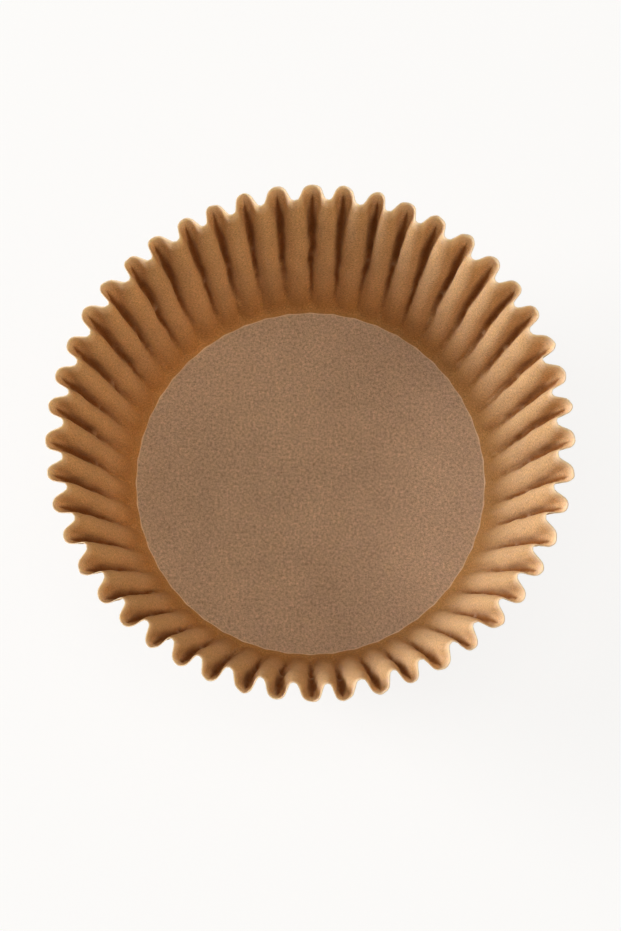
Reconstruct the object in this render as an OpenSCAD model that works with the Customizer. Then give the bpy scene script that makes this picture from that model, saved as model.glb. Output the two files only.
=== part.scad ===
// Fluted paper baking cup, pressed from one flat round blank.
// It stands on its base with the axis up, and the origin is the centre of the base's underside.

/* [Cup] */
// Diameter of the flat base, inside the crease round it
base_d = 51; // [42:1:58]
// Diameter of the rim, over the crests of the pleats
top_d = 74; // [68:1:84]
// Height of the rim above the table, at the inner folds
cup_h = 30; // [22:1:45]
// Angle by which the crease turns the paper up from the base
crease_angle = 40; // [20:5:55]
// Radius of the bend between the crease and the straight wall
bend_r = 4; // [2:0.5:8]

/* [Pleats] */
// Number of pleats round the wall
pleats = 48; // [40:1:58]
// Depth of a pleat at the rim, from its crest to its inner fold
rim_pleat = 2.6; // [1.8:0.1:2.8]
// Depth of a pleat where the bend ends and the straight wall begins
bend_pleat = 0.45; // [0.2:0.05:0.9]
// Angle at which the straight flanks of the pleats stand up from the rim's circle
rim_flank = 64; // [60:2:74]
// Share of a pleat's rounding that is at its crest, at the rim, where the rest is at its inner fold
rim_crest = 0.62; // [0.3:0.02:0.7]
// The same share on the wall below the rim band
low_crest = 0.3; // [0.2:0.02:0.6]
// Height of the band below the rim, along the paper, in which the crests open out
rim_band = 5; // [3:0.5:10]

/* [Paper] */
// Thickness of the paper
paper_t = 0.1; // [0.06:0.02:0.2]

/* [Hidden] */
kraft = "#BE9C78";

// Places of the points on half a crest or half an inner fold, as shares of its turn
arc_turns = [0, 0.4, 0.8];
// Straight steps in the bend
bend_steps = 2;
// A flank angle that leaves no straight flank between the arcs
no_flank = 180;

// Radii and heights from here on are those of the middle of the paper's thickness
half_t = paper_t / 2;
base_r = base_d / 2;
rim_r = top_d / 2 - half_t - rim_pleat / 2;
base_z = half_t;
rim_z = cup_h;

// The angle at which the straight wall leaves the bend without a kink and meets the rim
run = rim_r - base_r + bend_r * sin(crease_angle);
climb = rim_z - base_z - bend_r * cos(crease_angle);
wall_angle = atan2(climb, run) + asin(bend_r / norm([run, climb]));
function bend_out(turn) = base_r + bend_r * (sin(turn) - sin(crease_angle));
function bend_up(turn) = base_z + bend_r * (cos(crease_angle) - cos(turn));

// The rim is the edge of a round blank, so along the paper its crests and inner folds are equally far
// from the bend. The crests lean out further, and so they end a little lower than the folds.
wall_run = rim_r - bend_out(wall_angle);
wall_rise = rim_z - bend_up(wall_angle);
lean_more = (rim_pleat - bend_pleat) / 2;
wall_length = norm([wall_run - lean_more, wall_rise]);
crest_dip = wall_rise - sqrt(pow(wall_length, 2) - pow(wall_run + lean_more, 2));

// Half a pleat of a ring, from the middle of the crest to the middle of the inner fold: a round crest, a
// straight flank and a round fold, which run into each other. Where the depth leaves no room for a straight
// flank, or none is asked for, the two arcs meet. Each point has its way along the ring and its height
// above the fold, in mm.
function half_pleat(half_w, depth, flank, crest) =
    let (
        turn = min(flank, 2 * atan(depth / half_w)),
        rounding = (half_w * sin(turn) - depth * cos(turn)) / (1 - cos(turn)),
        crest_r = rounding * crest,
        fold_r = rounding - crest_r,
        on_crest = [for (t = arc_turns) [crest_r * sin(t * turn), depth - crest_r * (1 - cos(t * turn))]],
        on_fold = [for (t = arc_turns) [half_w - fold_r * sin(t * turn), fold_r * (1 - cos(t * turn))]],
        more_crest = crest_r - fold_r,
        mid_flank = [half_w + more_crest * sin(turn), depth - more_crest * (1 - cos(turn))] / 2
    )
    concat(on_crest, [mid_flank], [for (i = [len(arc_turns) - 1 : -1 : 0]) on_fold[i]]);

// A whole pleat, with each point's place as a share of the pitch and its height as a share of the depth,
// from -0.5 at the fold to 0.5 at the crest
function pleat(ring_r, depth, flank, crest) =
    let (
        half_w = PI * ring_r / pleats,
        half = half_pleat(half_w, depth, flank, crest),
        fold = len(half) - 1
    )
    concat(
        [for (i = [0 : fold]) [half[i][0] / half_w / 2, half[i][1] / depth - 0.5]],
        [for (i = [fold - 1 : -1 : 1]) [1 - half[i][0] / half_w / 2, half[i][1] / depth - 0.5]]
    );

// The same pleat all the way round: the angle of each column of points, and its share of the depth
function columns(pleat) = [for (k = [0 : pleats - 1]) for (p = pleat) [360 * (k + p[0]) / pleats, p[1]]];
column_count = pleats * 4 * len(arc_turns);

// The paper from the crease to the rim. Each ring has its mean radius, the height of its inner folds,
// its pleat depth, how far its crests lie below its folds, the way from the middle of the paper to its
// outer face, outward and downward, and its columns. The crease has no pleats, and takes the columns of
// the bend. The pleats fade in round the bend, and their crests and folds run straight from there.
bend = [
    for (i = [1 : bend_steps])
        let (
            share = i / bend_steps,
            turn = crease_angle + (wall_angle - crease_angle) * share,
            r = bend_out(turn),
            depth = bend_pleat * share * share
        )
        [
            r,
            bend_up(turn),
            depth,
            0,
            half_t * sin(turn),
            half_t * cos(turn),
            columns(pleat(r, depth, no_flank, low_crest))
        ]
];
function wall_ring(share, out, down, flank, crest) =
    let (
        r = bend_out(wall_angle) + wall_run * share,
        depth = bend_pleat + (rim_pleat - bend_pleat) * share,
        z = bend_up(wall_angle) + wall_rise * share
    )
    [r, z, depth, crest_dip * share, out, down, columns(pleat(r, depth, flank, crest))];
crease = [base_r, base_z, 0, 0, half_t * tan(crease_angle / 2), half_t, bend[0][6]];
band_share = 1 - rim_band / norm([wall_run, wall_rise]);
band = wall_ring(band_share, half_t * sin(wall_angle), half_t * cos(wall_angle), no_flank, low_crest);
rim = wall_ring(1, half_t, 0, rim_flank, rim_crest);
rings = concat([crease], bend, [band, rim]);
ring_count = len(rings);

// Point on the middle of the paper, in column j of a ring
function middle(ring, j) =
    let (
        column = ring[6][j % column_count],
        r = ring[0] + ring[2] * column[1]
    )
    [r * cos(column[0]), r * sin(column[0]), ring[1] - ring[3] * (column[1] + 0.5)];

// The way from there to the outer face of the paper, square to the pleat
function to_outside(ring, j) =
    let (
        chord = middle(ring, j + 1) - middle(ring, j + column_count - 1),
        out = [chord[1], -chord[0]] / norm([chord[0], chord[1]])
    )
    [out[0] * ring[4], out[1] * ring[4], -ring[5]];

// All points of one face of the paper, ring by ring: side 1 is the outside and -1 the inside
function face_points(side) = [
    for (ring = rings)
        for (j = [0 : column_count - 1])
            middle(ring, j) + side * to_outside(ring, j)
];

// Two triangles between neighbouring columns of two rows of points, which begin at low and high
function strip(low, high, j) =
    let (next = (j + 1) % column_count)
    [
        [low + j, high + j, high + next],
        [low + j, high + next, low + next]
    ];

module liner() {
    side_count = ring_count * column_count;
    rim_row = (ring_count - 1) * column_count;
    under = 2 * side_count;
    over = under + 1;
    points = concat(face_points(1), face_points(-1), [[0, 0, 0], [0, 0, paper_t]]);
    outer_wall = [
        for (i = [0 : ring_count - 2])
            for (j = [0 : column_count - 1])
                each strip(i * column_count, (i + 1) * column_count, j)
    ];
    inner_wall = [for (t = outer_wall) [t[0], t[2], t[1]] + side_count * [1, 1, 1]];
    cut_edge = [for (j = [0 : column_count - 1]) each strip(rim_row, side_count + rim_row, j)];
    underside = [for (j = [0 : column_count - 1]) [under, j, (j + 1) % column_count]];
    floor_top = [
        for (j = [0 : column_count - 1])
            [over, side_count + (j + 1) % column_count, side_count + j]
    ];
    color(kraft)
        polyhedron(points, concat(outer_wall, inner_wall, cut_edge, underside, floor_top));
}

liner();
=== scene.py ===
# One fluted kraft-paper cupcake liner on a white table, seen from above into its open mouth
import math

import bpy
import numpy as np
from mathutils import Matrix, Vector, noise


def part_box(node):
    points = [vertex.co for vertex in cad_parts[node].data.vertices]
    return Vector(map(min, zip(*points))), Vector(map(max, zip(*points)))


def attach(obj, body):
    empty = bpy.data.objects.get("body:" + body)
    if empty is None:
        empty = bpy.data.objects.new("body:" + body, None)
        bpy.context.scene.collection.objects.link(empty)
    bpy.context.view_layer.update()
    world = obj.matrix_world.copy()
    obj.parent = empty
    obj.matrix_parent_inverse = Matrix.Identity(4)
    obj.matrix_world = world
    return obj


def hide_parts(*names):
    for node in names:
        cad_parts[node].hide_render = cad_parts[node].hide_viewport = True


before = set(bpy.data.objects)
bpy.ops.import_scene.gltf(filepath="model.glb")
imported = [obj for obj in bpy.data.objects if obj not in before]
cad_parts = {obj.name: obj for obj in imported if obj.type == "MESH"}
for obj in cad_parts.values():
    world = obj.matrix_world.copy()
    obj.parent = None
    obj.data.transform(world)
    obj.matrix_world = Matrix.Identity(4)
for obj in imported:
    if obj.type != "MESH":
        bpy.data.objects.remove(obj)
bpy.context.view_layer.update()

mm = 0.001
noiseToUnit = 2  # noise.noise mostly stays within a half on either side of zero
lowCorner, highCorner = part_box("liner")
print("frame loaded, liner box", [round(v / mm, 2) for v in highCorner - lowCorner], "mm")


# Small helpers

def linear(hexColour):  # sRGB hex to the linear colour that shaders take
    parts = [int(hexColour[i:i + 2], 16) / 255 for i in (1, 3, 5)]
    return [p / 12.92 if p <= 0.04045 else ((p + 0.055) / 1.055) ** 2.4 for p in parts] + [1.0]


def addNode(tree, kind, settings=None, links=None):  # names of attributes or sockets, or socket numbers
    node = tree.nodes.new(kind)
    for name, value in (settings or {}).items():
        if isinstance(name, str) and hasattr(node, name):
            setattr(node, name, value)
        else:
            node.inputs[name].default_value = value
    for name, source in (links or {}).items():
        tree.links.new(source, node.inputs[name])
    return node


def setStops(ramp, stops):  # each stop is a place from 0 to 1 and a grey level
    elements = ramp.color_ramp.elements
    while len(elements) < len(stops):
        elements.new(0.5)
    for element, (place, level) in zip(elements, stops):
        element.position = place
        element.color = (level, level, level, 1)
    return ramp.outputs["Color"]


def newMaterial(name):
    material = bpy.data.materials.new(name)
    material.use_nodes = True
    material.node_tree.nodes.clear()
    return material, material.node_tree


def smoothStep(x):
    x = np.clip(x, 0, 1)
    return x * x * (3 - 2 * x)


def waver(count, pace, seed, around=False):  # count values in about -1..1 that drift slowly
    if around:
        turns = [2 * math.pi * k / count for k in range(count)]
        places = [Vector((pace * math.cos(t), pace * math.sin(t), seed)) for t in turns]
    else:
        places = [Vector((k * pace, seed, 0.5)) for k in range(count)]
    return np.array([noise.noise(place) for place in places]) * noiseToUnit


# The liner: one round blank of paper, pressed into a cup

liner = {
    "pleats": 48,
    "baseRadius": 25.5,      # mm, flat floor out to the crease
    "creaseAngle": 40,       # degrees that the crease turns the paper up
    "creaseWidth": 0.14,     # mm on each side of the crease, where the paper bends over
    "creaseScallop": 0.13,   # mm that the crease swings out and in with the pleats
    "scallopFade": 8,        # power with which that fades on the way up
    "bendRadius": 4.0,       # mm, from the crease into the straight wall
    "rimPleat": 2.6,         # mm, crest to inner fold at the rim of the solid
    "rimFlank": 70,          # degrees, steepness of a pleat's straight flanks at the rim
    "rimCrest": 0.66,        # share of a pleat's rounding that is at the crest, at the rim
    "lowCrest": 0.24,        # and lower down, where the crests are creased sharper
    "rimOpening": 7.0,       # power with which the pleats take their rim form towards the rim
    "pleatFade": 1.4,        # mm of paper above the crease, in which the pleats fade in
    "paper": 0.1,            # mm, paper thickness
    "leastSpare": 1.0001,    # paper in the flattest ring, as a multiple of the way round it

    "halfSteps": 9,          # columns from a crest to a fold
    "crestBias": 1.3,        # above 1, they lie closer at the crest
    "upBend": 8,             # rows along the bend
    "bendBias": 1.25,        # above 1, they lie closer at the crease
    "upWall": 45,            # rows along the straight wall
    "lip": 0.50,             # mm below the cut edge that is left paler

    "angleDrift": 0.55,      # degrees that a crest or fold strays along the rim
    "depthDrift": 0.15,      # mm that it stands out or in at the rim
    "heightDrift": 0.12,     # mm, unevenness of the cut edge
    "outOfRound": 0.30,      # mm, at the rim
    "ovalPace": 0.9,         # how fast that changes round the rim
    "turnGrowth": 0.6,       # power with which the angle drift grows on the way up
    "standGrowth": 0.8,      # and the depth drift
    "ovalGrowth": 1.5,       # and the oval
    "edgeGrowth": 3,         # and the unevenness of the edge, with the dip of its crests
    "wander": 0.14,          # mm, slow waver of each line on its way up
    "wanderPace": 0.16,      # how fast it changes from row to row

    "pinchSpan": (0.42, 0.60),      # shares of the way up, between which each crest is pinched once
    "pinchStrength": (-0.2, 1.3),   # weakest and strongest, cut off at 0 and 1
    "pinchSize": 1.04,       # mm up and down from its middle
    "pinchReach": 0.4,       # share of the way to the next fold
    "pinchDepth": 0.18,      # mm
    "crumple": 0.045,        # mm, small dents all over the wall
    "crumpleSize": 2.2,      # mm
    "crinkle": 0.28,         # mm, small kinks in the crests
    "kinkSize": 1.05,        # mm
    "kinkReach": 0.45,       # share of the way to the next fold
    "streak": 0.05,          # mm, faint ribs that run up the folds
    "streakWidth": 3.1,      # columns
    "streakLength": 9,       # mm
    "creaseHold": 0.12,      # share of the way up, below which the crease holds the paper flat
    "rimCalm": 0.6,          # how much of the dents is lost towards the rim

    "floorCrown": 0.16,      # mm that the floor lifts in the middle
    "floorWave": 0.05,       # mm, waviness of the floor
    "waveSize": 11,          # mm
    "waveRise": 6,           # how fast it grows from the crease inwards
    # Rings of the floor: radius in mm, and how many columns of the wall one point stands for
    "floorPlan": ((24.7, 4), (23.2, 4), (20.8, 4), (17.6, 8), (13.8, 8), (9.6, 16), (5.2, 32)),

    "crestWearAndHighlight": (1, 0.6, 0.2),    # how pale a crest is, worn fibres with a painted highlight, and the next two columns on each side
    "rimPaintedGlow": 0.90,          # how much paler the paper is painted at the rim, as a glow of light
    "rimGlowHeight": 2.6,        # mm below the rim, where that painted glow ends
    "pinchHighlight": 0.36,        # how much paler a pinch is painted, as a highlight on it
    "wallTone": (-0.3, 0.9),        # mm above the crease, between which the inner wall takes its painted warmer colour
    "footHeight": 13.0,      # mm above the crease, over which the painted golden shade at the foot of the wall fades
    "crestReach": 0.66,      # how far the painted shade inside a crest reaches, as a share of the way to the fold, high up
    "lowReach": 0.36,        # and low down
    "reachFull": 0.8,        # share of the way up, where it is widest
    "foldReach": 0.46,       # how far the painted shade outside a fold reaches, as a share of the way to the crest
    "hollowCore": 1.15,      # above 1, the middle of a hollow is painted dark over some width
    "hollowPoint": 0.9,      # mm below the rim, where that painted shade begins in a point
    "hollowSlit": 0.12,      # share of its width at the point
    "hollowTop": 2.2,        # mm further down, where it is full
    "hollowWiden": 7.5,      # and where it is widest
    "hollowFoot": (9, 17),   # mm above the crease, least and most, where it is full
    "seed": 7,
}


def wallGeometry(size):  # works out the bend and the straight wall from the solid's box
    crease = math.radians(size["creaseAngle"])
    floorZ = size["paper"] / 2
    top = highCorner.z / mm
    bend = size["bendRadius"]
    rimR = highCorner.x / mm - size["paper"] / 2 - size["rimPleat"] / 2
    run = rimR - size["baseRadius"] + bend * math.sin(crease)
    climb = top - floorZ - bend * math.cos(crease)
    slope = math.atan2(climb, run) + math.asin(bend / math.hypot(run, climb))
    bendOut = size["baseRadius"] + bend * (math.sin(slope) - math.sin(crease))
    bendUp = floorZ + bend * (math.cos(crease) - math.cos(slope))
    bendLength = bend * (slope - crease)
    halfDepth = size["rimPleat"] / 2
    wallRun, wallRise = rimR - bendOut, top - bendUp
    # The cut edge is one circle on the blank, so the crests, which lean out further, end lower
    crestRise = math.sqrt((wallRun - halfDepth) ** 2 + wallRise ** 2 - (wallRun + halfDepth) ** 2)
    return {
        "crease": crease, "slope": slope, "floorZ": floorZ, "bendLength": bendLength,
        "bendOut": bendOut, "bendUp": bendUp, "crestDip": wallRise - crestRise,
        "length": bendLength + math.hypot(wallRun, wallRise),
    }


def pathPoint(size, wall, s):  # mean radius and height of the paper, s mm above the crease
    if s < wall["bendLength"]:
        turn = wall["crease"] + s / size["bendRadius"]
        out = size["baseRadius"] + size["bendRadius"] * (math.sin(turn) - math.sin(wall["crease"]))
        return out, wall["floorZ"] + size["bendRadius"] * (math.cos(wall["crease"]) - math.cos(turn))
    further = s - wall["bendLength"]
    out = wall["bendOut"] + further * math.cos(wall["slope"])
    return out, wall["bendUp"] + further * math.sin(wall["slope"])


def pleatTurn(ratio):
    # Angle whose arc is ratio times as long as the way straight across it, found by halving
    low, high = 0.0, math.pi
    for _ in range(40):
        middle = (low + high) / 2
        low, high = (middle, high) if middle < ratio * math.sin(middle) else (low, middle)
    return low


def halfPleat(ratio, flank, crest, onPaper):
    # Points from mid crest to mid fold, as shares of the way across: a crest arc, a straight flank and
    # a fold arc, which together are ratio times as long as the way across. Each point is given by how
    # far along the paper it lies.
    rounding = (1 - ratio * math.cos(flank)) / (math.sin(flank) - flank * math.cos(flank))
    crestR, foldR = crest * rounding, (1 - crest) * rounding
    along = onPaper * ratio
    turnIn = np.minimum(along / crestR, flank)
    turnOut = np.minimum((ratio - along) / foldR, flank)
    straight = np.clip(along - crestR * flank, 0, ratio - rounding * flank)
    across = crestR * np.sin(turnIn) + straight * math.cos(flank)
    across = across + foldR * (math.sin(flank) - np.sin(turnOut))
    down = crestR * (1 - np.cos(turnIn)) + straight * math.sin(flank)
    down = down + foldR * (np.cos(turnOut) - math.cos(flank))
    return np.column_stack((across, down / down[-1])), down[-1]


def mirrored(half):  # the way back, from mid fold to the next mid crest
    return np.column_stack((1 - half[::-1, 0], half[::-1, 1]))


def between(values, along):  # a value for each line, carried over the points up to the next line
    following = np.roll(values, -1)
    return values[:, None] + (following - values)[:, None] * along


def wallGrid(size, wall):
    # Middle of the paper as rows of points from the crease to the rim, with the place of each point
    # on the flat blank and how strongly the paper is creased there
    perHalf = size["halfSteps"]
    onPaper = (np.arange(perHalf + 1) / perHalf) ** size["crestBias"]  # shares of the paper to the fold
    lines = 2 * size["pleats"]  # crest, fold, crest, fold and so on
    rng = np.random.default_rng(size["seed"])
    angleStray = np.radians(rng.uniform(-1, 1, lines) * size["angleDrift"])
    depthStray = rng.uniform(-1, 0.5, lines) * size["depthDrift"]  # mostly inwards
    edgeStray = rng.uniform(-1, 0, lines) * size["heightDrift"]  # never above the rim
    oval = waver(lines, size["ovalPace"], 3.0, around=True) * size["outOfRound"]
    bendRows = wall["bendLength"] * (np.arange(size["upBend"]) / size["upBend"]) ** size["bendBias"]
    bendRows[1] = size["creaseWidth"]
    wallRows = np.linspace(wall["bendLength"], wall["length"], size["upWall"] + 1)
    rows = np.concatenate((bendRows, wallRows[:-1], (wall["length"] - size["lip"], wall["length"])))
    # Each line wavers from a seed of its own
    sways = np.array([waver(len(rows), size["wanderPace"], 10 + 3 * k) for k in range(lines)])

    evenLine = (np.arange(lines) % 2 == 0)[:, None]
    blankTurn = (np.arange(lines)[:, None] + np.where(evenLine, onPaper[:-1], 1 - onPaper[:0:-1])).ravel()
    blankTurn = blankTurn * 2 * math.pi / lines
    ridge = np.zeros(perHalf + 1)
    ridge[:len(size["crestWearAndHighlight"])] = size["crestWearAndHighlight"]
    ridges = np.where(evenLine, ridge[:-1], ridge[::-1][:-1]).ravel()

    grid = np.zeros((len(rows), lines * perHalf, 3))
    blank = np.zeros((len(rows), lines * perHalf, 2))
    crestPaleness = np.zeros((len(rows), lines * perHalf))
    for row, s in enumerate(rows):
        share = s / wall["length"]
        out, up = pathPoint(size, wall, s)
        fade = float(smoothStep((s - size["creaseWidth"]) / size["pleatFade"]))
        # The pleats take up just the paper that is spare, and at the crease next to none
        ratio = max((size["baseRadius"] + s) / out, size["leastSpare"])
        opened = share ** size["rimOpening"]
        roundFlank = pleatTurn(ratio)
        flank = roundFlank + (math.radians(size["rimFlank"]) - roundFlank) * opened
        crest = size["lowCrest"] + (size["rimCrest"] - size["lowCrest"]) * opened
        half, deep = halfPleat(ratio, flank, crest, onPaper)
        depth = math.pi * out / size["pleats"] * deep * fade
        along = np.where(evenLine, half[:-1, 0], mirrored(half)[:-1, 0])
        sink = np.where(evenLine, half[:-1, 1], mirrored(half)[:-1, 1])

        sway = sways[:, row] * size["wander"] * 4 * share * (1 - share) / out  # most at half height
        turns = angleStray * share ** size["turnGrowth"] + sway
        stand = depthStray * share ** size["standGrowth"] + oval * share ** size["ovalGrowth"]
        scallop = size["creaseScallop"] * (1 - share) ** size["scallopFade"]
        angle = (math.pi / size["pleats"]) * (np.arange(lines)[:, None] + along) + between(turns, along)
        radius = out + (depth + scallop) * (0.5 - sink) + between(stand, along)
        edge = between(edgeStray, along) - wall["crestDip"] * (1 - sink)
        height = up + share ** size["edgeGrowth"] * edge
        x, y = radius * np.cos(angle), radius * np.sin(angle)
        grid[row] = np.column_stack((x.ravel(), y.ravel(), height.ravel()))
        blankR = size["baseRadius"] + s
        blank[row] = np.column_stack((blankR * np.cos(blankTurn), blankR * np.sin(blankTurn)))
        # paler crests: worn fibres with a painted highlight
        crestPaleness[row] = ridges * fade * (1 - opened)
    return grid, blank, crestPaleness, rows


def outwardNormals(grid):
    across = np.roll(grid, -1, axis=1) - np.roll(grid, 1, axis=1)
    normals = np.cross(across, np.gradient(grid, axis=0))
    normals /= np.linalg.norm(normals, axis=2, keepdims=True)
    atCrease = normals[0] + (0, 0, -1)  # halfway between the wall's and the floor's
    normals[0] = atCrease / np.linalg.norm(atCrease, axis=1, keepdims=True)
    return normals


def nearLine(size, columns, fold, reach, core=1):
    # 1 on the crests, or on the folds, down to 0 a share of the way to the next line
    perLine = size["halfSteps"]
    column = np.arange(columns) + (perLine if fold else 0)
    away = np.abs((column + perLine) % (2 * perLine) - perLine) / perLine
    return smoothStep((1 - away / reach) * core)


def nearestCrest(size, columns):  # number of the crest that each column belongs to
    perPleat = 2 * size["halfSteps"]
    return ((np.arange(columns) + perPleat // 2) // perPleat) % size["pleats"]


def pinchMarks(size, wall, rows, columns):  # 1 in the small pinches that the press leaves in the crests
    rng = np.random.default_rng(size["seed"] + 1)
    place = rng.uniform(*size["pinchSpan"], size["pleats"]) * wall["length"]
    strength = np.clip(rng.uniform(*size["pinchStrength"], size["pleats"]), 0, 1)
    crest = nearestCrest(size, columns)
    up = 1 - np.abs(rows[:, None] - place[crest][None]) / size["pinchSize"]
    return smoothStep(up) * nearLine(size, columns, False, size["pinchReach"]) * strength[crest][None]


def dentWall(size, wall, grid, blank, rows):
    # Small dents in the paper, kinks along the crests and ribs up the folds, each from a layer of the
    # noise of its own
    normals = outwardNormals(grid)
    columns = grid.shape[1]
    onCrest = nearLine(size, columns, False, size["kinkReach"])
    pinch = pinchMarks(size, wall, rows, columns)
    for row, s in enumerate(rows):
        share = s / wall["length"]
        free = float(smoothStep(share / size["creaseHold"])) * (1 - size["rimCalm"] * share)
        for k in range(columns):
            u, v = blank[row, k]
            dent = noise.noise(Vector((u, v, 0)) / size["crumpleSize"]) * size["crumple"]
            kink = noise.noise(Vector((u, v, 9)) / size["kinkSize"]) * size["crinkle"] * onCrest[k]
            ribPlace = Vector((k / size["streakWidth"], s / size["streakLength"], 4))
            rib = noise.noise(ribPlace) * size["streak"]
            lift = (dent + kink + rib) * noiseToUnit * free
            grid[row, k] += normals[row, k] * (lift - pinch[row, k] * size["pinchDepth"])
    return grid


def floorRings(size, wall, columns):
    # Rings of the floor from the crease inwards, with fewer points as they get smaller
    rings = []
    for radius, shared in ((size["baseRadius"] - size["creaseWidth"], 1), *size["floorPlan"]):
        count = columns // shared
        turns = 2 * math.pi * np.arange(count) / count
        x, y = radius * np.cos(turns), radius * np.sin(turns)
        inward = 1 - (radius / size["baseRadius"]) ** 2
        wave = np.array([noise.noise(Vector((a, b, 0)) / size["waveSize"]) for a, b in zip(x, y)])
        wave = wave * noiseToUnit * size["floorWave"] * min(1, size["waveRise"] * inward)
        lift = np.maximum(0, size["floorCrown"] * inward + wave)
        rings.append(np.column_stack((x, y, wall["floorZ"] + lift)))
    centre = np.array([[0, 0, wall["floorZ"] + size["floorCrown"]]])
    return rings, centre


def stitchRings(outer, inner):  # faces between two rings of vertex numbers, the inner as long or shorter
    ratio = len(outer) // len(inner)
    faces = []
    for j in range(len(inner)):
        here, onward = inner[j], inner[(j + 1) % len(inner)]
        run = [outer[(j * ratio + k) % len(outer)] for k in range(ratio + 1)]
        if ratio == 1:
            faces.append((here, onward, run[1], run[0]))
            continue
        middle = ratio // 2
        faces += [(here, run[k + 1], run[k]) for k in range(middle)]
        faces.append((here, onward, run[middle]))
        faces += [(onward, run[k + 1], run[k]) for k in range(middle, ratio)]
    return faces


def paintMarks(size, wall, rows, crestPaleness, floorCount):
    # What the paper's material reads: for each name the marks on the outer face and on the inner one,
    # point by point from the rim down the wall and then over the floor
    columns = crestPaleness.shape[1]
    up = rows[::-1, None]  # mm above the crease
    below = wall["length"] - up  # mm below the rim

    # Painted glow of light along the rim, fading downwards
    edges = np.maximum(0, size["rimPaintedGlow"] * (1 - below / size["rimGlowHeight"])) * np.ones(columns)
    edges[:2], edges[-1] = 1, 1  # the lip, cut paper left paler, and the crease round the floor, worn pale with a painted highlight
    pinch = pinchMarks(size, wall, rows, columns)[::-1] * size["pinchHighlight"]
    # The inner wall's painted warmth, standing for light that comes through the paper
    toneFrom, toneTo = size["wallTone"]
    paintedWarmth = smoothStep((up - toneFrom) / (toneTo - toneFrom))
    # Painted shade at the foot of the inner wall, fading on the way up
    foot = 1 - smoothStep(up / size["footHeight"])

    # Painted shade in each hollow opens from a point below the rim, and each fades at a height of its own
    # towards the floor
    fromPoint = below - size["hollowPoint"]
    feet = np.random.default_rng(size["seed"] + 2).uniform(*size["hollowFoot"], size["pleats"])
    fadeIn = up / feet[nearestCrest(size, columns)][None]
    deep = smoothStep(fadeIn) * smoothStep(fromPoint / size["hollowTop"])
    widening = smoothStep(up / wall["length"] / size["reachFull"])
    reach = size["lowReach"] + (size["crestReach"] - size["lowReach"]) * widening
    reach = reach * np.clip(fromPoint / size["hollowWiden"], size["hollowSlit"], 1)

    def spread(onWall, onFloor=0.0):
        return np.concatenate((np.broadcast_to(onWall, crestPaleness.shape).ravel(), np.full(floorCount, onFloor)))

    return {
        "wearAndHighlight": (spread(np.maximum(crestPaleness[::-1], edges)), spread(np.maximum(pinch, edges))),
        "outerSkin": (spread(1.0, 1.0), spread(0.0)),
        "innerWall": (spread(0.0), spread(paintedWarmth)),
        "paintedFootShade": (spread(0.0), spread(foot)),
        # painted shade: in the folds seen from outside, in the crests seen from inside
        "pleatShade": (spread(deep * nearLine(size, columns, True, size["foldReach"])),
                    spread(deep * nearLine(size, columns, False, reach, size["hollowCore"]))),
    }


def makeLiner(size):
    wall = wallGeometry(size)
    grid, blank, crestPaleness, rows = wallGrid(size, wall)
    grid = dentWall(size, wall, grid, blank, rows)
    columns = grid.shape[1]
    rings, centre = floorRings(size, wall, columns)
    floor = np.vstack(rings + [centre])
    down = np.tile((0.0, 0.0, -1.0), (len(floor), 1))

    # From the rim down and in to the middle, once for the outer face of the paper and once for the inner
    middle = np.vstack((grid[::-1].reshape(-1, 3), floor))
    outward = np.vstack((outwardNormals(grid)[::-1].reshape(-1, 3), down))
    flat = np.vstack((blank[::-1].reshape(-1, 2), floor[:, :2]))
    counts = [columns] * len(rows) + [len(ring) for ring in rings]
    starts = np.concatenate(([0], np.cumsum(counts)))
    loops = [list(range(starts[k], starts[k + 1])) for k in range(len(counts))]
    faces = []
    for outer, inner in zip(loops[:-1], loops[1:]):
        faces += stitchRings(outer, inner)
    last, hub = loops[-1], len(middle) - 1
    faces += [(hub, last[(j + 1) % len(last)], last[j]) for j in range(len(last))]
    shift = len(middle)
    inside = [tuple(v + shift for v in reversed(face)) for face in faces]
    rim = [(j, (j + 1) % columns, (j + 1) % columns + shift, j + shift) for j in range(columns)]
    half = outward * size["paper"] / 2

    mesh = bpy.data.meshes.new("kraftLiner")
    mesh.from_pydata((np.vstack((middle + half, middle - half)) * mm).tolist(), [], faces + inside + rim)
    cut = [0] * (2 * len(faces)) + [1] * columns
    mesh.polygons.foreach_set("material_index", cut)
    mesh.polygons.foreach_set("use_smooth", [c == 0 for c in cut])

    blankSize = 2 * (size["baseRadius"] + wall["length"])
    corners = np.zeros(len(mesh.loops), dtype=int)
    mesh.loops.foreach_get("vertex_index", corners)
    layer = mesh.uv_layers.new(name="flatBlank")
    layer.data.foreach_set("uv", (flat[corners % shift] / blankSize + 0.5).astype(np.float32).ravel())
    for name, marks in paintMarks(size, wall, rows, crestPaleness, len(floor)).items():
        attribute = mesh.attributes.new(name, "FLOAT", "POINT")
        attribute.data.foreach_set("value", np.concatenate(marks).astype(np.float32))
    mesh.validate()
    mesh.update()
    piece = bpy.data.objects.new("kraftLiner", mesh)
    bpy.context.collection.objects.link(piece)
    print("liner", len(mesh.vertices), "points, flat blank", round(blankSize, 2), "mm")
    return piece, blankSize


# Materials

def crossedFibres(tree, look, onSheet):  # single fibres in layers that lie across each other
    total = None
    for turn in look["fibreTurns"]:
        lie = addNode(tree, "ShaderNodeMapping",
                      {"vector_type": "TEXTURE", "Rotation": (0, 0, turn),
                       "Location": (turn * look["fibreShift"], 0, 0),
                       "Scale": (look["fibreLength"], look["fibreWidth"], 1)}, onSheet).outputs["Vector"]
        layer = addNode(tree, "ShaderNodeTexNoise", {"Scale": 1.0, "Detail": 1},
                        {"Vector": lie}).outputs["Fac"]
        total = layer if total is None else addNode(
            tree, "ShaderNodeMath", {"operation": "ADD"}, {0: total, 1: layer}).outputs[0]
    return addNode(tree, "ShaderNodeMath", {"operation": "DIVIDE", 1: float(len(look["fibreTurns"]))},
                   {0: total}).outputs[0]


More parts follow.
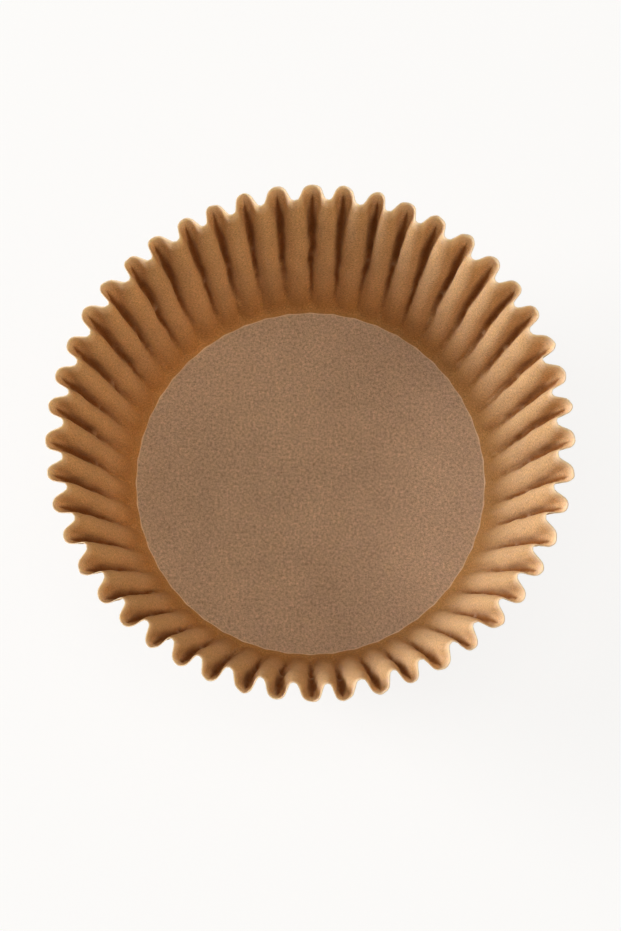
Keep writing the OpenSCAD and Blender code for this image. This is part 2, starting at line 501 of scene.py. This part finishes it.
def sheetShade(tree, look, cloudTone, broad, tone, inner):
    # How light the paper is from place to place: its clouds, its broad tone and its grain
    low, high = look["cloudShade"]
    cloudy = addNode(tree, "ShaderNodeMapRange", {"To Min": low, "To Max": high},
                     {"Value": cloudTone}).outputs["Result"]
    thin, thick = look["formationSpan"]
    low, high = look["formationShade"]
    uneven = addNode(tree, "ShaderNodeMapRange",
                     {"From Min": thin, "From Max": thick, "To Min": low, "To Max": high},
                     {"Value": broad}).outputs["Result"]
    shade = addNode(tree, "ShaderNodeMath", {"operation": "MULTIPLY"}, {0: cloudy, 1: uneven}).outputs[0]
    mottle = addNode(tree, "ShaderNodeMapRange",
                     {"To Min": look["grainDark"], "To Max": look["grainPale"]},
                     {"Value": tone}).outputs["Result"]
    calm = addNode(tree, "ShaderNodeMath", {"operation": "MULTIPLY", 1: 1 - look["wallGrain"]},
                   {0: inner}).outputs[0]
    mottle = addNode(tree, "ShaderNodeMix", {3: 1.0}, {0: calm, 2: mottle}).outputs[0]
    return addNode(tree, "ShaderNodeMath", {"operation": "MULTIPLY"}, {0: shade, 1: mottle}).outputs[0]


def kraftPaper(blankSize):
    # Unbleached kraft paper, made on a paper machine: matt, mottled brown, with short fibres lying
    # every way and a few dark shives. The eye reads a soft brown that pales where it is creased. Painted
    # light is mixed in: highlights on crests, pinches and the floor's crease, a glow at the rim, warmth
    # on the inner wall, and shade at its foot and in the pleats.
    look = {
        "base": "#C9AC91",      # as the floor shows it
        "outside": "#D3B896",   # outer face of the paper, painted a little paler, as it looks lit
        "wall": "#CEA87E",      # inner wall, painted warmer for the light that comes through the thin paper
        "foot": "#BB8D57",      # painted shade low on that wall, warm with the light that goes from pleat to pleat
        "hollow": "#743F08",    # painted shade deep in a pleat
        "hollowShare": 0.93,
        "grainDark": 0.24,      # share of the colour in the darkest and the palest grain
        "grainPale": 1.76,
        "wallGrain": 0.85,      # how much of that shows on the pressed walls
        "shive": "#8A6542",
        # pale: worn creases, painted highlights and the painted glow at the rim
        "creased": "#F6DDBF",
        "palenessPatches": (0.60, 1.00),  # how much of a crease's paleness, worn and painted, shows from patch to patch
        "cloudSize": 4.0,       # mm, uneven formation of the sheet
        "cloudStops": ((0.3, 0), (0.7, 1)),
        "cloudShade": (0.95, 1.05),
        "formation": 16.0,      # mm, broad uneven tone
        "formationSpan": (0.3, 0.7),
        "formationShade": (0.94, 1.06),
        "grainSize": 0.40,      # mm, felted fibres as the eye sees them
        "grainShare": 0.66,     # how much of the mottle is such grain, and the rest single fibres
        "wallGrainSize": 0.30,  # mm, drawn finer where the paper is pressed
        "feltStops": ((0.25, 0), (0.75, 1)),
        "fibreWidth": 0.16,     # mm; real ones are about 0.03, drawn wider so that they show
        "fibreLength": 0.9,     # mm
        "fibreTurns": (0.3, 1.35, 2.4),  # radians, three layers of fibres that cross
        "fibreShift": 31,       # moves each layer to a part of the pattern of its own
        "shiveSpacing": 3.2,    # mm
        "shiveSize": 0.16,      # mm
        "shiveCore": 0.4,       # share of its size that is darkest
        "shiveDepth": 0.55,     # how dark that is
        "relief": 0.008,        # mm, height of the felted surface
        "roughness": (0.70, 0.84),
    }
    material, tree = newMaterial("kraftPaperPressed")
    place = addNode(tree, "ShaderNodeUVMap", {"uv_map": "flatBlank"}).outputs["UV"]
    sheet = addNode(tree, "ShaderNodeMapping", {"Scale": (blankSize, blankSize, 1)}, {"Vector": place})
    onSheet = {"Vector": sheet.outputs["Vector"]}  # in mm on the flat blank
    names = ("innerWall", "outerSkin", "paintedFootShade", "pleatShade", "wearAndHighlight")
    inner, outer, paintedFootShade, pleatShade, wearAndHighlight = [
        addNode(tree, "ShaderNodeAttribute", {"attribute_name": name}).outputs["Fac"] for name in names]

    # Clouds, grain and fibres
    cloud = addNode(tree, "ShaderNodeTexNoise",
                    {"Scale": 1 / look["cloudSize"], "Detail": 3, "Roughness": 0.55},
                    onSheet).outputs["Fac"]
    grain = addNode(tree, "ShaderNodeTexNoise",
                    {"Scale": 1 / look["grainSize"], "Detail": 3, "Roughness": 0.85},
                    onSheet).outputs["Fac"]
    wallGrain = addNode(tree, "ShaderNodeTexNoise",
                        {"Scale": 1 / look["wallGrainSize"], "Detail": 2, "Roughness": 0.8},
                        onSheet).outputs["Fac"]
    grain = addNode(tree, "ShaderNodeMix", links={0: inner, 2: grain, 3: wallGrain}).outputs[0]
    broad = addNode(tree, "ShaderNodeTexNoise", {"Scale": 1 / look["formation"], "Detail": 1},
                    onSheet).outputs["Fac"]
    fibres = crossedFibres(tree, look, onSheet)
    felt = addNode(tree, "ShaderNodeMix", {0: look["grainShare"]}, {2: fibres, 3: grain}).outputs[0]
    tone = setStops(addNode(tree, "ShaderNodeValToRGB", links={"Fac": felt}), look["feltStops"])
    cloudTone = setStops(addNode(tree, "ShaderNodeValToRGB", links={"Fac": cloud}), look["cloudStops"])

    # Colours, from the floor's through the paler painted outside and the painted shade at the foot to the
    # painted shade in the pleats, and how light the paper is from place to place
    pleatShade = addNode(tree, "ShaderNodeMath", {"operation": "MULTIPLY", 1: look["hollowShare"]},
                      {0: pleatShade}).outputs[0]
    colour = addNode(tree, "ShaderNodeMix",
                     {"data_type": "RGBA", 6: linear(look["base"]), 7: linear(look["wall"])},
                     {0: inner}).outputs[2]
    for share, name in ((outer, "outside"), (paintedFootShade, "foot"), (pleatShade, "hollow")):
        colour = addNode(tree, "ShaderNodeMix", {"data_type": "RGBA", 7: linear(look[name])},
                         {0: share, 6: colour}).outputs[2]

    shade = sheetShade(tree, look, cloudTone, broad, tone, inner)
    colour = addNode(tree, "ShaderNodeVectorMath", {"operation": "SCALE"},
                     {"Vector": colour, "Scale": shade}).outputs["Vector"]

    # Dark shives, and pale creases: worn fibres with painted highlights, and the painted glow at the rim
    spots = addNode(tree, "ShaderNodeTexVoronoi", {"Scale": 1 / look["shiveSpacing"], "Randomness": 1.0},
                    onSheet).outputs["Distance"]
    reach = look["shiveSize"] / look["shiveSpacing"]
    shives = setStops(addNode(tree, "ShaderNodeValToRGB", links={"Fac": spots}),
                      ((reach * look["shiveCore"], look["shiveDepth"]), (reach, 0)))
    low, high = look["palenessPatches"]
    worn = addNode(tree, "ShaderNodeMapRange", {"To Min": low, "To Max": high},
                   {"Value": cloudTone}).outputs["Result"]
    paleShare = addNode(tree, "ShaderNodeMath", {"operation": "MULTIPLY"}, {0: wearAndHighlight, 1: worn}).outputs[0]
    for share, name in ((shives, "shive"), (paleShare, "creased")):
        colour = addNode(tree, "ShaderNodeMix", {"data_type": "RGBA", 7: linear(look[name])},
                         {0: share, 6: colour}).outputs[2]

    relief = addNode(tree, "ShaderNodeBump", {"Strength": 1.0, "Distance": look["relief"] * mm},
                     {"Height": grain}).outputs["Normal"]
    low, high = look["roughness"]
    roughness = addNode(tree, "ShaderNodeMapRange", {"To Min": low, "To Max": high},
                        {"Value": tone}).outputs["Result"]
    surface = addNode(tree, "ShaderNodeBsdfPrincipled",
                      {"IOR": 1.5, "Metallic": 0.0, "Specular IOR Level": 0.18, "Subsurface Weight": 0.3,
                       "Subsurface Radius": (1.0, 0.8, 0.3), "Subsurface Scale": 0.3 * mm},
                      {"Base Color": colour, "Roughness": roughness, "Normal": relief})
    addNode(tree, "ShaderNodeOutputMaterial", links={"Surface": surface.outputs[0]})
    return material


def cutEdge():
    # The same paper where the die cut it: the ends of the fibres stand open and look paler
    look = {
        "dark": "#E6CDAC",
        "pale": "#F6E6CE",
        "endSize": 0.3,  # mm, tufts of fibre ends
        "endStops": ((0.35, 0), (0.65, 1)),
    }
    material, tree = newMaterial("kraftPaperCutEdge")
    place = addNode(tree, "ShaderNodeTexCoord").outputs["Object"]
    ends = addNode(tree, "ShaderNodeTexNoise", {"Scale": 1 / (look["endSize"] * mm), "Detail": 2},
                   {"Vector": place}).outputs["Fac"]
    tone = setStops(addNode(tree, "ShaderNodeValToRGB", links={"Fac": ends}), look["endStops"])
    colour = addNode(tree, "ShaderNodeMix",
                     {"data_type": "RGBA", 6: linear(look["dark"]), 7: linear(look["pale"])},
                     {0: tone}).outputs[2]
    surface = addNode(tree, "ShaderNodeBsdfPrincipled", {"IOR": 1.5, "Roughness": 0.85},
                      {"Base Color": colour})
    addNode(tree, "ShaderNodeOutputMaterial", links={"Surface": surface.outputs[0]})
    return material


piece, blankSize = makeLiner(liner)
piece.data.materials.append(kraftPaper(blankSize))
piece.data.materials.append(cutEdge())
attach(piece, "root")
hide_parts("liner")
print("materials done")


# Table, light and camera

studio = {
    "tableSize": 4.0,        # m
    "tableGap": 0.02,        # mm under the liner's base, so that the two faces don't mix
    "tableColour": "#F4F2EF",
    "tableWhite": 0.85,      # share of plain white in it, for the camera
    "roomColour": (1, 0.80, 0.48),  # light thrown back by the warm room round the table
    "roomStrength": 1.00,
    "roomTop": 0.7,          # height in the sky, as a sine, at which the room gives way to the ceiling
    "ceilingColour": (0.06, 0.055, 0.05),
    "lampColour": (1, 0.98, 0.95),
    "topPower": 6.6,         # W
    "topHeight": 1.6,        # m
    "topSize": 1.0,          # m
    "keyPower": 10.8,        # W
    "keyFrom": (-0.97, 0.22),  # towards the left
    "keyElevation": 24,      # degrees
    "keyDistance": 1.1,      # m
    "keySize": 0.55,         # m
    "cardColour": (1, 0.78, 0.45),  # warm light from the right, as from a card
    "cardPower": 1.8,        # W
    "cardFrom": (0.62, -0.15, 0.77),
    "cardSize": 0.8,         # m
    "elevation": 78,         # degrees, down into the mouth
    "distance": 0.56,        # m
    "pictureHeight": 931,    # px
    "linerPixels": 545,      # px, width of the liner in the picture
    "aimHeight": 0.012,      # m
    "sensorHeight": 36,      # mm
}


def tableTop():
    # White painted board, evenly lit: for the camera it is lifted to white but keeps the shadow
    material, tree = newMaterial("whitePaintedBoard")
    board = addNode(tree, "ShaderNodeBsdfPrincipled",
                    {"Base Color": linear(studio["tableColour"]), "Roughness": 0.65, "IOR": 1.5,
                     "Specular IOR Level": 0.2})
    rays = addNode(tree, "ShaderNodeLightPath")
    seen = addNode(tree, "ShaderNodeMath", {"operation": "MAXIMUM"},
                   {0: rays.outputs["Is Camera Ray"], 1: rays.outputs["Is Glossy Ray"]}).outputs[0]
    share = addNode(tree, "ShaderNodeMath", {"operation": "MULTIPLY", 1: studio["tableWhite"]},
                    {0: seen}).outputs[0]
    glow = addNode(tree, "ShaderNodeEmission", {"Color": (1, 1, 1, 1), "Strength": 1.0})
    both = addNode(tree, "ShaderNodeMixShader", links={0: share, 1: board.outputs[0], 2: glow.outputs[0]})
    addNode(tree, "ShaderNodeOutputMaterial", links={"Surface": both.outputs[0]})
    return material


def makeTable():
    bpy.ops.mesh.primitive_plane_add(size=studio["tableSize"], location=(0, 0, -studio["tableGap"] * mm))
    table = bpy.context.object
    table.name = "table"
    table.data.materials.append(tableTop())


def addLamp(name, size, power, colour, place):
    lamp = bpy.data.lights.new(name, "AREA")
    lamp.shape = "DISK"
    lamp.size = size
    lamp.energy = power
    lamp.color = colour
    holder = bpy.data.objects.new(name, lamp)
    bpy.context.collection.objects.link(holder)
    holder.location = place
    holder.rotation_euler = place.to_track_quat("Z", "Y").to_euler()  # shines at the liner


def makeRoom():  # warm walls low in the sky and a dim ceiling above
    world = bpy.data.worlds.new("softRoom")
    bpy.context.scene.world = world
    world.use_nodes = True
    tree = world.node_tree
    room = [c * studio["roomStrength"] for c in studio["roomColour"]] + [1]
    ceiling = (*studio["ceilingColour"], 1)
    way = addNode(tree, "ShaderNodeTexCoord").outputs["Generated"]
    up = addNode(tree, "ShaderNodeSeparateXYZ", links={"Vector": way}).outputs["Z"]
    high = addNode(tree, "ShaderNodeMapRange", {"From Max": studio["roomTop"]},
                   {"Value": up}).outputs["Result"]
    shade = addNode(tree, "ShaderNodeMix", {"data_type": "RGBA", 6: room, 7: ceiling},
                    {0: high}).outputs[2]
    tree.links.new(shade, tree.nodes["Background"].inputs["Color"])


def makeLamps():
    lift = math.radians(studio["keyElevation"])
    level = Vector((*studio["keyFrom"], 0)).normalized() * math.cos(lift)
    window = (level + Vector((0, 0, math.sin(lift)))) * studio["keyDistance"]
    card = Vector(studio["cardFrom"]).normalized() * studio["keyDistance"]
    overhead = Vector((0, 0, studio["topHeight"]))
    addLamp("windowLight", studio["keySize"], studio["keyPower"], studio["lampColour"], window)
    addLamp("ceilingLight", studio["topSize"], studio["topPower"], studio["lampColour"], overhead)
    addLamp("warmCard", studio["cardSize"], studio["cardPower"], studio["cardColour"], card)


def makeCamera():
    view = bpy.data.cameras.new("camera")
    view.sensor_fit = "VERTICAL"
    view.sensor_height = studio["sensorHeight"]
    linerWidth = highCorner.x - lowCorner.x
    tall = linerWidth * studio["pictureHeight"] / studio["linerPixels"]  # m that the picture spans
    view.lens = view.sensor_height / tall * (studio["distance"] - highCorner.z)
    camera = bpy.data.objects.new("camera", view)
    bpy.context.collection.objects.link(camera)
    lift = math.radians(studio["elevation"])
    away = Vector((0, -math.cos(lift), math.sin(lift)))
    camera.location = Vector((0, 0, studio["aimHeight"])) + away * studio["distance"]
    camera.rotation_euler = away.to_track_quat("Z", "Y").to_euler()
    bpy.context.scene.camera = camera


makeTable()
makeRoom()
makeLamps()
makeCamera()
bpy.context.scene.view_settings.view_transform = "Standard"
print("table, light and camera done")

bpy.context.view_layer.update()
